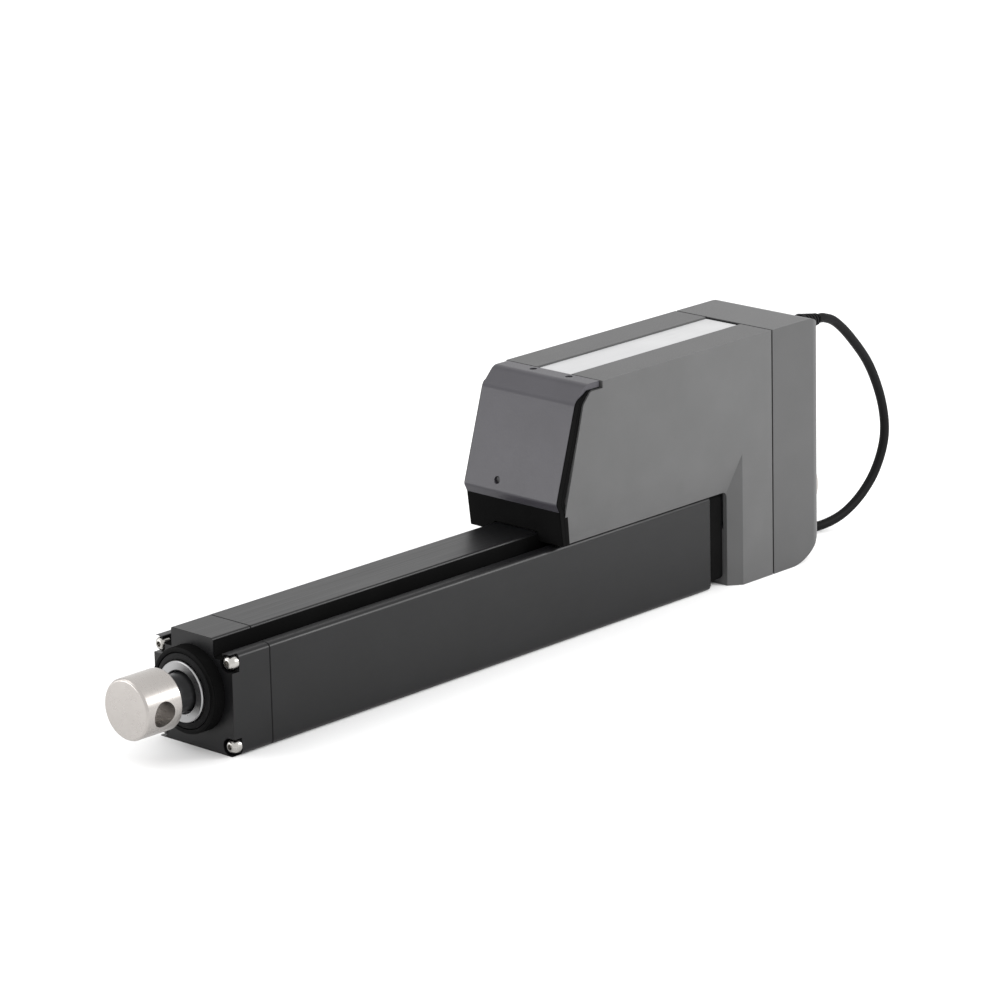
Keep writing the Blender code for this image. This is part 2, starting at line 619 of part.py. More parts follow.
def cable_piece(name, points, house, black):
    curve = bpy.data.curves.new(name, "CURVE")
    curve.dimensions = "3D"
    curve.bevel_depth = CABLE_R * MM
    curve.bevel_resolution = 2
    curve.use_fill_caps = True
    route = smooth_route([Vector(point) for point in points], 12.0)
    line = curve.splines.new("POLY")
    line.points.add(len(route) - 1)
    for place, point in zip(line.points, route):
        place.co = (*(point * MM), 1.0)
    curve.materials.append(black)
    made = bpy.data.objects.new(name, curve)
    made.parent = house
    made.matrix_parent_inverse = Matrix.Translation(-house.location)
    bpy.context.collection.objects.link(made)


def coil_section(proud, steps):
    """The oval outline of the coil's bundle, as (distance from the coil's centre, height)."""
    section = []
    for step in range(steps):
        angle = 2 * math.pi * step / steps
        section.append((COIL_MIDDLE_R + (COIL_WIDE / 2 + proud) * math.cos(angle),
                        COIL_LOW + COIL_HIGH / 2 + (COIL_HIGH / 2 + proud) * math.sin(angle)))
    return section


def turned_ring(x, y, section, steps):
    """Turn a closed section about the upright line through x, y."""
    shape = bmesh.new()
    loops = []
    for turn in range(steps):
        angle = 2 * math.pi * turn / steps
        loops.append([shape.verts.new((x + radius * math.cos(angle), y + radius * math.sin(angle), z))
                      for radius, z in section])
    count = len(section)
    for turn in range(steps):
        here, there = loops[turn], loops[(turn + 1) % steps]
        for step in range(count):
            after = (step + 1) % count
            shape.faces.new((here[step], here[after], there[after], there[step]))
    return shape


def make_cable(house, rubber):
    boot = [(-433, 0), (-433, 3.1), (-419.3, 5.2), (-419.3, 4.0), (-412.2, 4.0), (-412.2, 5.6),
            (-409, 5.6), (-409, 0)]
    boot = [(FRONT + x, radius) for x, radius in boot]
    place = (BOOT_END, BOOT_Y, BOOT_Z)
    add("cable_boot", lathe(boot, BOOT_Y, BOOT_Z, 16), rubber, house, place, True)
    floor = CABLE_R + 0.1
    x, y = COIL_CENTRE
    beside = COIL_MIDDLE_R + COIL_WIDE / 2 + CABLE_R + GAP
    route = [
        (BOOT_END - 3 * GAP, BOOT_Y, BOOT_Z), (FRONT - 440, 14.9, 121.2),
        (FRONT - 450, 14.2, 116.8), (FRONT - 464, 13.1, 105.2), (FRONT - 480.3, 11.9, 87),
        (FRONT - 492.2, 10.6, 64.6), (FRONT - 496.2, 9.3, 44.8), (FRONT - 491.2, 7.9, 27.8),
        (FRONT - 481, 6.6, 15.6), (FRONT - 467.5, 5.4, 7.6), (FRONT - 455, 3.0, 3.9),
        (FRONT - 444.5, -1.6, floor), (FRONT - 437, -8.5, floor), (FRONT - 432.5, -17.5, floor),
        (FRONT - 427.5, -26.5, floor), (FRONT - 419, -34.3, floor), (FRONT - 408, -38.0, floor),
        (FRONT - 396, y + beside, floor), (FRONT - 380, y + beside, floor),
        (FRONT - 365, y + beside, floor), (x - 3, y + beside, floor),
    ]
    cable_piece("cable", route, house, rubber)
    add("cable_coil", turned_ring(x, y, coil_section(0, 12), 28), rubber, house, (x, y, 0), True)
    band = prism(coil_section(1.3, 16), "Y", y - 2.5, y + 2.5)
    bmesh.ops.translate(band, verts=band.verts, vec=(x, 0, 0))
    band = add("coil_tie", band, rubber, house, (x + COIL_MIDDLE_R, y, 0))
    inside = prism(coil_section(0.5, 16), "Y", y - 5, y + 5)
    bmesh.ops.translate(inside, verts=inside.verts, vec=(x, 0, 0))
    combine(band, add("tie_way", inside, None))
    tail = [(x + 20, y + 33, 9), (x + 30, y + 32.5, 5), (x + 40, y + 31, 2.9),
            (x + 50, y + 28, floor), (x + 58, y + 24, floor)]
    cable_piece("cable_tail", tail, house, rubber)


def make_actuator():
    clear_scene()
    black = material("black_anodised", (0.035, 0.035, 0.038), 0.42, 0.3)
    satin = material("black_housing", (0.045, 0.045, 0.05), 0.4, 0.0)
    light = material("top_strip", (0.32, 0.32, 0.33), 0.35, 0.6)
    rubber = material("rubber", (0.012, 0.012, 0.012), 0.7, 0.0)
    steel = material("zinc_steel", (0.75, 0.73, 0.72), 0.3, 1.0)
    bright = material("stainless_tube", (0.7, 0.7, 0.71), 0.22, 1.0)
    dark_steel = material("dark_steel", (0.06, 0.06, 0.06), 0.4, 0.9)
    bronze = material("bronze", (0.5, 0.34, 0.16), 0.4, 1.0)
    nylon = material("nylon", (0.75, 0.72, 0.62), 0.5, 0.0)
    copper = material("copper", (0.6, 0.3, 0.15), 0.4, 1.0)
    cast = material("cast_aluminium", (0.1, 0.1, 0.105), 0.55, 0.7)
    board_green = material("board", (0.03, 0.16, 0.06), 0.45, 0.0)

    house = group("housing", 0, 0, 0)
    rod = group("rod", FRONT, 0, ROD_Z)
    screw = group("screw", SCREW_ORIGIN_X, 0, ROD_Z)
    idler = group("idler", FAST_PLANE[0], 0, IDLER_Z)
    rotor = group("motor_rotor", FRONT - 350, 0, MOTOR_Z)

    make_tube(house, black, rubber)
    make_front_cap(house, black, rubber, bronze, steel)
    make_rod(rod, steel, bright, bronze)
    make_screw(screw, house, steel, dark_steel)
    make_gears(screw, idler, rotor, house, steel, bronze, nylon)
    make_motor(rotor, house, steel, copper, satin)
    places = make_gear_case(house, cast, dark_steel)
    make_side_cover("near_cover", 1, house, satin)
    make_side_cover("far_cover", -1, house, satin)
    make_nose(house, satin, dark_steel)
    make_top_plate(house, light)
    make_rear_cap(house, satin, rubber, places)
    make_rear_lug(house, steel)
    make_board(house, board_green)
    make_cable(house, rubber)


make_actuator()
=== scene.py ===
"""Looks for the electric linear actuator: camera, light, floor, finishes and the detailed pieces.

Everything is drawn in millimetres in the frame of the CAD model, and MM turns it into metres.
The rod leaves towards +X, +Z is up, and the actuator stands on Z = 0.
"""
import math

import bmesh
import bpy
from mathutils import Matrix, Vector


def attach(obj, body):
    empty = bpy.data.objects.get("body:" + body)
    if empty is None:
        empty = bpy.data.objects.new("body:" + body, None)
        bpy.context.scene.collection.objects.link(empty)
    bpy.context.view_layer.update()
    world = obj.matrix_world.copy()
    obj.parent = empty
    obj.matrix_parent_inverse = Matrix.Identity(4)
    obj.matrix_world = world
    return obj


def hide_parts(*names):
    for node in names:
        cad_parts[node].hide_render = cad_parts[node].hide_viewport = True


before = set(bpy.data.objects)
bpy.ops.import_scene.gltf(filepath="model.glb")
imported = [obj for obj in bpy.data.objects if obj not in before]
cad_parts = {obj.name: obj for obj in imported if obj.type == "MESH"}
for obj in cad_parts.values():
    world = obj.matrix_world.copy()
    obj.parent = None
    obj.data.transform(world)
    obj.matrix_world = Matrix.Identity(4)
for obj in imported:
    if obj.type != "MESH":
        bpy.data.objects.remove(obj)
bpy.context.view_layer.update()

MM = 0.001

# Places along X, as in the CAD model
FRONT = 200.5
CAP_DEPTH = 24.0
TUBE_REAR = FRONT - 335.0
LEG_FRONT = FRONT - 347.0
LEG_FLAT = FRONT - 353.6
SEAM = FRONT - 377.0
CAP_REAR = FRONT - 418.0
LUG_HOLE_X = FRONT - 430.0

# Outer tube, rod and housing
TUBE_HALF = 26.5
TUBE_TOP = 50.0
RIB_HALF = 14.2
RIB_TOP = 56.0
GROOVE_OUTER = 20.2
GROOVE_FLOOR = 46.5
PORT_Y = 23.0
PORT_LOW = 4.6
PORT_HIGH = 45.4
PORT_R = 2.1
SEAT_R = 4.3
SEAL_R = 18.4
ROD_Z = 29.0
ROD_R = 15.0
ROD_BORE_R = 12.0
EYE_X = FRONT + 32.0
CROSS_HOLE_R = 6.35
CROSS_HOLE_TURN = math.radians(8.0)
HOUSE_TOP = 130.0
HOUSE_HALF = 32.5
BAND_HALF = 27.3
BAND_TOP = 70.0
FLANGE_EDGE = 11.8
WALL = 2.5
NOSE_HALF = 31.4
CAP_LOW_ROUND = 26.0
CAP_HIGH_ROUND = 12.0
CAP_PLAN_ROUND = 9.0
BOSS_R = 21.0
FOOT_TOP = 69.4
REAR_SCREW_Y = 21.5
REAR_SCREW_Z = (46.0, 108.0)
NOSE_HOLE_R = 1.9

# Cable
CABLE_R = 2.5
WIRE_R = 0.95
BOOT_Y = 15.2
BOOT_Z = 122.0
BOOT_END = FRONT - 433.0
CABLE_START = BOOT_END - 0.9
COIL_X = FRONT - 352.0
COIL_Y = -75.0
COIL_MIDDLE_R = 25.5
COIL_WIDE = 16.5
BESIDE = COIL_MIDDLE_R + COIL_WIDE / 2 + CABLE_R + 0.3
CABLE_FLOOR = CABLE_R + 0.1


# ---------------------------------------------------------------- camera

CAMERA_PLACE = (1.64795, 1.58898, 0.74349)
CAMERA_RIGHT = (-0.687411, 0.725920, -0.022509)
CAMERA_UP = (-0.218710, -0.177355, 0.959537)
CAMERA_BACK = (0.692554, 0.664519, 0.280682)
CAMERA_LENS = 174.82
CAMERA_SENSOR = 36.0


def make_camera():
    data = bpy.data.cameras.new("camera")
    data.sensor_width = CAMERA_SENSOR
    data.lens = CAMERA_LENS
    data.clip_start = 0.1
    data.clip_end = 50.0
    camera = bpy.data.objects.new("camera", data)
    turn = Matrix((CAMERA_RIGHT, CAMERA_UP, CAMERA_BACK)).transposed()
    camera.matrix_world = Matrix.Translation(CAMERA_PLACE) @ turn.to_4x4()
    bpy.context.collection.objects.link(camera)
    bpy.context.scene.camera = camera


# ---------------------------------------------------------------- finishes

class Nodes:
    """Short ways to build a material's node tree."""

    def __init__(self, name):
        self.material = bpy.data.materials.new(name)
        self.material.use_nodes = True
        self.tree = self.material.node_tree
        self.shader = self.tree.nodes["Principled BSDF"]

    def node(self, kind, **inputs):
        made = self.tree.nodes.new(kind)
        for key, value in inputs.items():
            made.inputs[key.replace("_", " ")].default_value = value
        return made

    def link(self, source, target):
        self.tree.links.new(source, target)

    def place(self, stretch):
        """Object coordinates in millimetres, stretched along an axis by a small factor."""
        where = self.node("ShaderNodeTexCoord")
        mapping = self.node("ShaderNodeMapping", Scale=[part / MM for part in stretch])
        self.link(where.outputs["Object"], mapping.inputs["Vector"])
        return mapping.outputs["Vector"]

    def noise(self, where, scale, detail=4.0):
        made = self.node("ShaderNodeTexNoise", Scale=scale, Detail=detail, Roughness=0.6)
        self.link(where, made.inputs["Vector"])
        return made.outputs["Fac"]

    def span(self, source, low, high, start=0.3, end=0.7):
        made = self.node("ShaderNodeMapRange")
        made.inputs["From Min"].default_value = start
        made.inputs["From Max"].default_value = end
        made.inputs["To Min"].default_value = low
        made.inputs["To Max"].default_value = high
        self.link(source, made.inputs["Value"])
        return made.outputs["Result"]

    def tones(self, source, dark, light, start=0.3, end=0.7):
        ramp = self.node("ShaderNodeValToRGB")
        ramp.color_ramp.elements[0].position = start
        ramp.color_ramp.elements[0].color = (*dark, 1.0)
        ramp.color_ramp.elements[1].position = end
        ramp.color_ramp.elements[1].color = (*light, 1.0)
        self.link(source, ramp.inputs["Fac"])
        return ramp.outputs["Color"]


def finish(name, colour, roughness, metallic=0.0, spread=0.12, grain=1.5, bump=0.02, deep=0.05,
           stretch=(1, 1, 1), rough_spread=0.06, ior=1.5, coat=0.0, coat_rough=0.2):
    """A satin, metal or rubber finish: broad tone drift, fine grain, uneven gloss.

    spread is how far the tone drifts, grain the grain's fineness per millimetre.
    """
    made = Nodes(name)
    even = made.place((1, 1, 1))
    along = made.place(stretch)
    drift = made.noise(even, 0.035, 3.0)
    fine = made.noise(along, grain, 5.0)
    dark = [part * (1 - spread) for part in colour]
    light = [min(1.0, part * (1 + spread)) for part in colour]
    made.link(made.tones(drift, dark, light), made.shader.inputs["Base Color"])
    made.link(made.span(fine, roughness - rough_spread, roughness + rough_spread),
              made.shader.inputs["Roughness"])
    raised = made.node("ShaderNodeBump", Strength=bump * 10, Distance=deep * MM)
    made.link(fine, raised.inputs["Height"])
    made.link(raised.outputs["Normal"], made.shader.inputs["Normal"])
    made.shader.inputs["Metallic"].default_value = metallic
    made.shader.inputs["IOR"].default_value = ior
    made.shader.inputs["Coat Weight"].default_value = coat
    made.shader.inputs["Coat Roughness"].default_value = coat_rough
    return made.material


def make_finishes():
    return {
        "black_anodised": finish("black_anodised", (0.005, 0.005, 0.0055), 0.36, 0.0, 0.15, 0.8, 0.03,
                                 0.03, (0.02, 1.6, 1.6), 0.05, 1.33),
        "black_housing": finish("black_housing", (0.075, 0.075, 0.078), 0.42, 0.0, 0.06, 1.4, 0.03,
                                0.04),
        "nose": finish("nose", (0.042, 0.040, 0.047), 0.36, 0.0, 0.08, 1.4, 0.03, 0.04, ior=1.36),
        "top_strip": finish("top_strip", (0.46, 0.46, 0.465), 0.36, 0.2, 0.05, 0.9, 0.02, 0.03,
                            (0.03, 1.5, 1.5)),
        "rubber": finish("rubber", (0.005, 0.005, 0.0053), 0.62, 0.0, 0.2, 1.2, 0.06, 0.06, ior=1.2),
        "cable_jacket": finish("cable_jacket", (0.004, 0.004, 0.0042), 0.55, 0.0, 0.15, 0.9, 0.04, 0.05,
                               ior=1.18),
        "zinc_steel": finish("zinc_steel", (0.40, 0.378, 0.36), 0.30, 0.9, 0.04, 1.2, 0.03, 0.02,
                             (2.5, 0.25, 0.25)),
        "stainless_tube": finish("stainless_tube", (0.34, 0.34, 0.342), 0.32, 1.0, 0.04, 1.4, 0.02,
                                 0.02, (2.5, 0.3, 0.3)),
        "dark_steel": finish("dark_steel", (0.05, 0.05, 0.052), 0.38, 0.8, 0.15, 1.4, 0.03, 0.03),
        "bronze": finish("bronze", (0.5, 0.34, 0.16), 0.4, 1.0, 0.12, 1.0, 0.03, 0.03),
        "nylon": finish("nylon", (0.75, 0.72, 0.62), 0.5, 0.0, 0.05, 0.8, 0.02, 0.03),
        "copper": finish("copper", (0.6, 0.3, 0.15), 0.4, 1.0, 0.15, 0.8, 0.05, 0.05, (1, 3, 3)),
        "magnet": finish("magnet", (0.07, 0.07, 0.075), 0.5, 0.4, 0.15, 1.0, 0.04, 0.04),
        "cast_aluminium": finish("cast_aluminium", (0.12, 0.12, 0.125), 0.55, 0.7, 0.15, 0.6, 0.1,
                                 0.12),
        "board": finish("board", (0.03, 0.16, 0.06), 0.45, 0.0, 0.2, 0.5, 0.05, 0.05),
        "side_cover": finish("side_cover", (0.082, 0.082, 0.0825), 0.44, 0.0, 0.05, 1.4, 0.03, 0.04,
                             ior=1.25),
        "rear_cover": finish("rear_cover", (0.058, 0.058, 0.0585), 0.38, 0.0, 0.05, 1.4, 0.03, 0.04,
                             ior=1.34),
        "screw_steel": finish("screw_steel", (0.42, 0.41, 0.39), 0.28, 1.0, 0.1, 1.2, 0.05, 0.03),
        # Painted shade: near-black finish for the boss lip, which stands in shadow.
        "boss_painted_shade": finish("boss_painted_shade", (0.002, 0.002, 0.002), 0.6, 0.0, 0.2, 1.0, 0.04, 0.05,
                             ior=1.15),
        # Painted shade: a near-black, dull finish for pieces put where there is only shade.
        "painted_shade_black": finish("painted_shade_black", (0.004, 0.004, 0.004), 0.85, 0.0, 0.2, 1.0, 0.06, 0.06, ior=1.1),
        "red_core": finish("red_core", (0.35, 0.02, 0.02), 0.45, 0.0, 0.1, 1.0, 0.03, 0.04),
    }


# ---------------------------------------------------------------- mesh tools

def rounded(points, steps=8):
    """An outline from (a, b, radius) corners, each turned into an arc of its radius."""
    outline = []
    count = len(points)
    for index, (a, b, radius) in enumerate(points):
        corner = Vector((a, b))
        if radius == 0:
            outline.append(corner)
            continue
        before = (Vector(points[index - 1][:2]) - corner).normalized()
        after = (Vector(points[(index + 1) % count][:2]) - corner).normalized()
        half = before.angle(after) / 2
        reach = radius / math.tan(half)
        centre = corner + (before + after).normalized() * radius / math.sin(half)
        start = corner + before * reach - centre
        end = corner + after * reach - centre
        turn = start.angle_signed(end)
        for step in range(steps + 1):
            outline.append(centre + Matrix.Rotation(-turn * step / steps, 2) @ start)
    return [tuple(point) for point in outline]


def circle(centre, radius, segments=32):
    ring = []
    for step in range(segments):
        angle = 2 * math.pi * (step + 0.5) / segments
        ring.append((centre[0] + radius * math.cos(angle), centre[1] + radius * math.sin(angle)))
    return ring


def box(y_half, low_z, high_z):
    return [(-y_half, low_z), (y_half, low_z), (y_half, high_z), (-y_half, high_z)]


def prism(outline, axis, low, high):
    """Extrude an outline along X (points are y, z), Y (x, z) or Z (x, y)."""
    def place(point, along):
        if axis == "X":
            return (along, point[0], point[1])
        if axis == "Y":
            return (point[0], along, point[1])
        return (point[0], point[1], along)

    shape = bmesh.new()
    near = [shape.verts.new(place(point, low)) for point in outline]
    far = [shape.verts.new(place(point, high)) for point in outline]
    shape.faces.new(near)
    shape.faces.new(far)
    count = len(outline)
    for index in range(count):
        after = (index + 1) % count
        shape.faces.new((near[index], near[after], far[after], far[index]))
    return shape


def lathe(profile, y, z, segments=72):
    """Turn (x, radius) points about the X line through y, z. Radius 0 closes on the axis."""
    shape = bmesh.new()
    rings = []
    for x, radius in profile:
        if radius == 0:
            rings.append([shape.verts.new((x, y, z))])
            continue
        ring = []
        for step in range(segments):
            angle = 2 * math.pi * step / segments
            point = (x, y + radius * math.cos(angle), z + radius * math.sin(angle))
            ring.append(shape.verts.new(point))
        rings.append(ring)
    pairs = list(zip(rings, rings[1:]))
    if profile[0][1] != 0:
        pairs.append((rings[-1], rings[0]))
    for first, second in pairs:
        for step in range(segments):
            after = (step + 1) % segments
            if len(first) == 1:
                shape.faces.new((first[0], second[after], second[step]))
            elif len(second) == 1:
                shape.faces.new((first[step], first[after], second[0]))
            else:
                shape.faces.new((first[step], first[after], second[after], second[step]))
    return shape


def solid(name, shape):
    """A bmesh drawn in millimetres, as an object in metres at the origin."""
    bmesh.ops.recalc_face_normals(shape, faces=shape.faces)
    bmesh.ops.scale(shape, verts=shape.verts, vec=(MM, MM, MM))
    mesh = bpy.data.meshes.new(name)
    shape.to_mesh(mesh)
    shape.free()
    made = bpy.data.objects.new(name, mesh)
    bpy.context.collection.objects.link(made)
    return made


def settle(piece):
    """Turn the piece's modifiers into its mesh."""
    depsgraph = bpy.context.evaluated_depsgraph_get()
    mesh = bpy.data.meshes.new_from_object(piece.evaluated_get(depsgraph))
    piece.modifiers.clear()
    piece.data = mesh


def combine(piece, shape, operation="DIFFERENCE"):
    """Cut a shape out of the piece, or join or intersect the two."""
    tool = shape if isinstance(shape, bpy.types.Object) else solid("tool", shape)
    step = piece.modifiers.new("combine", "BOOLEAN")
    step.operation = operation
    step.object = tool
    step.solver = "EXACT"
    settle(piece)
    bpy.data.objects.remove(tool, do_unlink=True)


def bore(piece, radius, y, z, low, high, segments=32):
    combine(piece, prism(circle((y, z), radius, segments), "X", low, high))


def dress(piece, material, body, nodes, edge=0.0, steps=3, sharp=40):
    """Round the piece's edges, shade it, and put it on its body in the place of its CAD nodes."""
    if edge:
        rounding = piece.modifiers.new("edges", "BEVEL")
        rounding.width = edge * MM
        rounding.segments = steps
        rounding.limit_method = "ANGLE"
        rounding.angle_limit = math.radians(sharp)
        settle(piece)
    piece.data.shade_smooth()
    piece.data.set_sharp_from_angle(angle=math.radians(sharp))
    even = piece.modifiers.new("even_shading", "WEIGHTED_NORMAL")
    even.keep_sharp = True
    settle(piece)
    piece.data.materials.clear()
    piece.data.materials.append(material)
    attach(piece, body)
    if nodes:
        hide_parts(*nodes)
    return piece


# ---------------------------------------------------------------- cable

def curve_points(points, parts=14):
    """A smooth curve through the route's own points."""
    ends = [points[0] * 2 - points[1]] + points + [points[-1] * 2 - points[-2]]
    fine = []
    for before, start, end, after in zip(ends, ends[1:], ends[2:], ends[3:]):
        for step in range(parts):
            t = step / parts
            fine.append(0.5 * ((2 * start) + (end - before) * t
                               + (2 * before - 5 * start + 4 * end - after) * t * t
                               + (3 * start - before - 3 * end + after) * t ** 3))
    fine.append(points[-1])
    return fine


def round_line(name, points, radius, steps, material):
    """A round cable or wire along points, which rides on the housing."""
    data = bpy.data.curves.new(name + "_line", "CURVE")
    data.dimensions = "3D"
    data.bevel_depth = radius * MM
    data.bevel_resolution = steps
    data.use_fill_caps = True
    spline = data.splines.new("POLY")
    spline.points.add(len(points) - 1)
    for place, point in zip(spline.points, points):
        place.co = (*(point * MM), 1.0)
    data.materials.append(material)
    made = bpy.data.objects.new(name, data)
    bpy.context.collection.objects.link(made)
    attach(made, "housing")
    return made


LEAD_IN = [
    (CABLE_START, BOOT_Y, BOOT_Z), (FRONT - 440, 14.9, 121.2), (FRONT - 450, 14.2, 116.8),
    (FRONT - 464, 13.1, 105.2), (FRONT - 480.3, 11.9, 87), (FRONT - 492.2, 10.6, 64.6),
    (FRONT - 496.2, 9.3, 44.8), (FRONT - 491.2, 7.9, 27.8), (FRONT - 481, 6.6, 15.6),
    (FRONT - 467.5, 5.4, 7.6), (FRONT - 455, 3.0, 3.9), (FRONT - 444.5, -1.6, CABLE_FLOOR),
    (FRONT - 437, -8.5, CABLE_FLOOR), (FRONT - 432.5, -17.5, CABLE_FLOOR),
    (FRONT - 427.5, -26.5, CABLE_FLOOR), (FRONT - 419, -34.3, CABLE_FLOOR),
    (FRONT - 408, -38.0, CABLE_FLOOR), (FRONT - 396, COIL_Y + BESIDE, CABLE_FLOOR),
    (FRONT - 380, COIL_Y + BESIDE, CABLE_FLOOR), (FRONT - 365, COIL_Y + BESIDE, CABLE_FLOOR),
    (COIL_X - 3, COIL_Y + BESIDE, CABLE_FLOOR), (COIL_X, COIL_Y + BESIDE, CABLE_FLOOR),
]
TAIL = [
    (COIL_X, COIL_Y + 30.8, 11.8), (COIL_X + 10, COIL_Y + 31.8, 11), (COIL_X + 20, COIL_Y + 32.8, 8.8),
    (COIL_X + 30, COIL_Y + 32.5, 5.2), (COIL_X + 40, COIL_Y + 31, 2.9),
    (COIL_X + 50, COIL_Y + 28, CABLE_FLOOR), (COIL_X + 58, COIL_Y + 24, CABLE_FLOOR),
]
# Where each turn lies in the bundle, out from the coil's middle radius and up from the floor,
# and how many passings before the turn's start the cable moves over to it
LAYS = [(5.3, 2.6, 0), (0.0, 2.6, 0), (-5.3, 2.6, 0), (-2.65, 7.2, 1), (2.65, 7.2, 2),
        (0.0, 11.8, 3), (5.3, 11.8, 4)]
TURN_STEPS = 40
PASSING_STEPS = 8


def passing_place(start, end, around, share):
    """Between two places in the bundle, in an arc about the turn that lies in between."""
    share = share * share * (3 - 2 * share)
    if around is None:
        return start.lerp(end, share)
    first, last = start - around, end - around
    turn = first.angle_signed(last) * share
    return around + Matrix.Rotation(-turn, 2) @ first.normalized() * (
        first.length + (last.length - first.length) * share)


def coil_points():
    """Turns laid beside and on each other, each passing into the next over an eighth of a turn."""
    places = [Vector((BESIDE - COIL_MIDDLE_R, CABLE_FLOOR))]
    places += [Vector(lay[:2]) for lay in LAYS]
    starts = [index * TURN_STEPS - lay[2] * PASSING_STEPS for index, lay in enumerate(LAYS)]
    line = []
    for step in range(len(LAYS) * TURN_STEPS + 1):
        index = max(number for number, start in enumerate(starts) if start <= step)
        share = min(1.0, (step - starts[index]) / PASSING_STEPS)
        around = places[index - 1] if LAYS[index][2] else None
        out, up = passing_place(places[index], places[index + 1], around, share)
        radius = COIL_MIDDLE_R + out
        angle = math.pi / 2 - 2 * math.pi * step / TURN_STEPS
        line.append(Vector((COIL_X + radius * math.cos(angle), COIL_Y + radius * math.sin(angle),
                            up)))
    return line


def make_cable(finishes):
    lead = curve_points([Vector(point) for point in LEAD_IN])
    tail = curve_points([Vector(point) for point in TAIL])
    line = lead[:-1] + coil_points()[:-1] + tail
    for point in line:
        point.z = max(point.z, CABLE_R + 0.03)
    cable = round_line("cable_lead", line, CABLE_R, 5, finishes["cable_jacket"])
    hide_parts("cable", "cable_coil", "cable_tail")
    return line


def on_node(name, material):
    """Give a CAD node that stays in view its finish."""
    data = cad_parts[name].data
    data.materials.clear()
    data.materials.append(material)


def make_tie(finishes):
    """A soft strap once round the coil's bundle, with its end tucked under."""
    section = [(-8.1, 0.1), (8.1, 0.1), (9.0, 2.4), (7.4, 9.5), (8.6, 12.4), (6.6, 14.9), (-2.4, 14.9),
               (-5.6, 10.6), (-9.0, 3.4)]
    outer = rounded([(COIL_X + COIL_MIDDLE_R + out, up, 1.2) for out, up in section], 4)
    inner = rounded([(COIL_X + COIL_MIDDLE_R + out * 0.93, 0.45 + (up - 0.45) * 0.95, 0.9)
                     for out, up in section], 4)
    tie = solid("coil_strap", prism(outer, "Y", COIL_Y - 2.4, COIL_Y + 2.4))
    combine(tie, prism(inner, "Y", COIL_Y - 4, COIL_Y + 4))
    dress(tie, finishes["rubber"], "housing", ["coil_tie"], 0.15, 2)


def make_wire_ends(finishes, line):
    """The lead's two wires at its free end, each with its own insulation and a crimped sleeve."""
    end = line[-1]
    way = (line[-1] - line[-2]).normalized()
    way.z = 0
    way.normalize()
    side = Vector((-way.y, way.x, 0))
    for name, shift, slot in (("wire_red", 1.15, "red_core"), ("wire_black", -1.15, "rubber")):
        points = [end - way * 1.5 + side * shift * 0.8, end + way * 2 + side * shift,
                  end + way * 6 + side * shift * 1.6, end + way * 10 + side * shift * 2.0]
        for index, point in enumerate(points):
            point.z = CABLE_FLOOR - index * 0.35
        smooth = curve_points(points, 6)
        round_line(name, smooth, WIRE_R, 4, finishes[slot])
        tip = smooth[-1]
        sleeve = lathe([(0, 0), (0, 1.25), (3.2, 1.25), (3.5, 0.75), (8.0, 0.75), (8.0, 0)], 0, 0, 20)
        aim = (smooth[-1] - smooth[-2]).normalized().to_track_quat("X", "Z").to_matrix().to_4x4()
        bmesh.ops.transform(sleeve, matrix=Matrix.Translation(tip) @ aim, verts=sleeve.verts)
        sleeve = solid(name + "_sleeve", sleeve)
        dress(sleeve, finishes["stainless_tube"], "housing", [])


# ---------------------------------------------------------------- tube, rod and front cap

def tube_outline(grow=0.0):
    half = [
        (TUBE_HALF - grow, grow, 3), (TUBE_HALF - grow, TUBE_TOP - grow, 2.5),
        (GROOVE_OUTER + grow, TUBE_TOP - grow, 0.5), (GROOVE_OUTER + grow, GROOVE_FLOOR - grow, 0.4),
        (RIB_HALF - grow, GROOVE_FLOOR - grow, 0.4), (RIB_HALF - grow, RIB_TOP - grow, 1.2),
    ]
    mirrored = [(-y, z, radius) for y, z, radius in reversed(half)]
    return rounded(half + mirrored)


def slide_outline():
    side, high, cut = 20.0, 17.0, 8.0
    quarter = [(side, high - cut), (side - cut, high)]
    points = quarter + [(-y, z) for y, z in reversed(quarter)]
    points += [(-y, -z) for y, z in quarter] + [(y, -z) for y, z in reversed(quarter)]
    return [(y, ROD_Z + z) for y, z in points]


def screw_places():
    return [(y, z) for z in (PORT_LOW, PORT_HIGH) for y in (-PORT_Y, PORT_Y)]


def rear_screw_places():
    return [(y, z) for z in REAR_SCREW_Z for y in (-REAR_SCREW_Y, REAR_SCREW_Y)]


def hexagon(radius, turn):
    return [(radius * math.cos(turn + math.pi * step / 3), radius * math.sin(turn + math.pi * step / 3))
            for step in range(6)]


